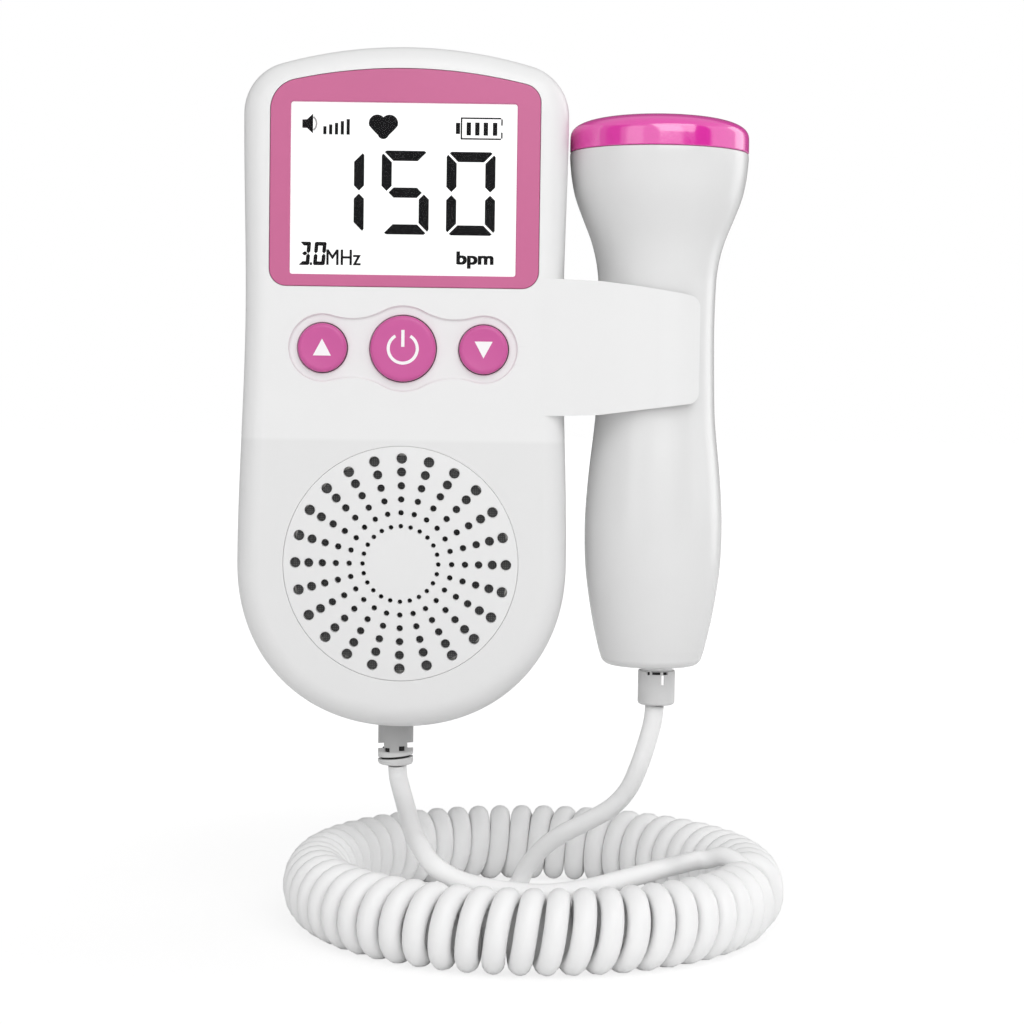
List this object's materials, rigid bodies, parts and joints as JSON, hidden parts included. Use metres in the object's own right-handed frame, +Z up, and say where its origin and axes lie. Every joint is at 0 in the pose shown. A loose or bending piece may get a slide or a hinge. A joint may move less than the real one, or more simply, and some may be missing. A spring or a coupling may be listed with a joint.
{
  "type": "fetal doppler",
  "caption": "Pocket ultrasound heartbeat monitor: display, keys and speaker in a hand unit, a probe in its side clip, and a curly cord.",
  "frame": {"origin": "middle of the flat land on the unit's back, 100.8 mm above the unit's lowest point", "axes": "+X towards the probe, +Y out of the back, +Z up towards the display; the front faces -Y"},
  "size_m": [0.1136, 0.1037, 0.1802],
  "materials": {
    "shell_white": "satin moulded",
    "button_pink": "satin moulded",
    "bezel_pink": "printed under a clear coat",
    "face_pink": "smooth moulded",
    "clear_lens": "clear acrylic",
    "display_glass": "backlit segment panel",
    "segment_black": "printed",
    "icon_white": "printed",
    "inner_white": "moulded",
    "board_green": "solder mask",
    "part_black": "moulded",
    "cloth_black": "woven",
    "spring_steel": "nickel plated",
    "magnet_grey": "plated",
    "cone_paper": "pressed",
    "cell_jacket": "shrink sleeve",
    "crystal_ceramic": "fired",
    "backing_rubber": "cast",
    "gland_grey": "moulded",
    "cord_grey": "satin"
  },
  "bodies": {
    "unit": {"front_shell": "shell_white", "rear_shell": "shell_white", "display_bezel": "bezel_pink", "display_window": "clear_lens", "lcd_panel": "display_glass", "lcd_backlight": "inner_white", "main_board": "board_green", "switch_up": "part_black", "switch_power": "part_black", "switch_down": "part_black", "speaker_grille": "shell_white", "speaker_cloth": "cloth_black", "speaker_frame": "spring_steel", "speaker_magnet": "magnet_grey", "speaker_cone": "cone_paper", "battery_cell_left": "cell_jacket", "battery_cell_right": "cell_jacket", "battery_spring_left": "spring_steel", "battery_spring_right": "spring_steel", "battery_plate_left": "spring_steel", "battery_plate_right": "spring_steel", "battery_bridge_plate": "spring_steel", "case_screw_1": "spring_steel", "case_screw_2": "spring_steel", "case_screw_3": "spring_steel", "case_screw_4": "spring_steel", "unit_strain_relief": "gland_grey", "cord_curl_ring": "cord_grey", "cord_unit_tail": "cord_grey", "cord_probe_tail": "cord_grey"},
    "probe": {"probe_front_shell": "shell_white", "probe_rear_shell": "shell_white", "probe_face_cap": "face_pink", "transmit_crystal": "crystal_ceramic", "receive_crystal": "crystal_ceramic", "crystal_backing": "backing_rubber", "probe_board": "board_green", "probe_strain_relief": "gland_grey"},
    "up_key": {"up_button": "button_pink", "stem_up": "inner_white"},
    "power_key": {"power_button": "button_pink", "stem_power": "inner_white"},
    "down_key": {"down_button": "button_pink", "stem_down": "inner_white"},
    "door": {"battery_door": "shell_white"}
  },
  "joints": [
    {"name": "probe_unclip", "type": "slide", "parent": "unit", "child": "probe", "axis": [0.866, 0.5, 0], "range_m": [0, 0.03]},
    {"name": "up_press", "type": "slide", "parent": "unit", "child": "up_key", "axis": [0, 1, 0], "range_m": [0, 0.0006], "stiffness_N_per_m": 900, "springref_m": -0.0004},
    {"name": "power_press", "type": "slide", "parent": "unit", "child": "power_key", "axis": [0, 1, 0], "range_m": [0, 0.0006], "stiffness_N_per_m": 900, "springref_m": -0.0004},
    {"name": "down_press", "type": "slide", "parent": "unit", "child": "down_key", "axis": [0, 1, 0], "range_m": [0, 0.0006], "stiffness_N_per_m": 900, "springref_m": -0.0004},
    {"name": "door_swing", "type": "hinge", "parent": "unit", "child": "door", "pos_m": [0, -0.0014, -0.085], "axis": [-1, 0, 0], "range_deg": [0, 85]}
  ]
}
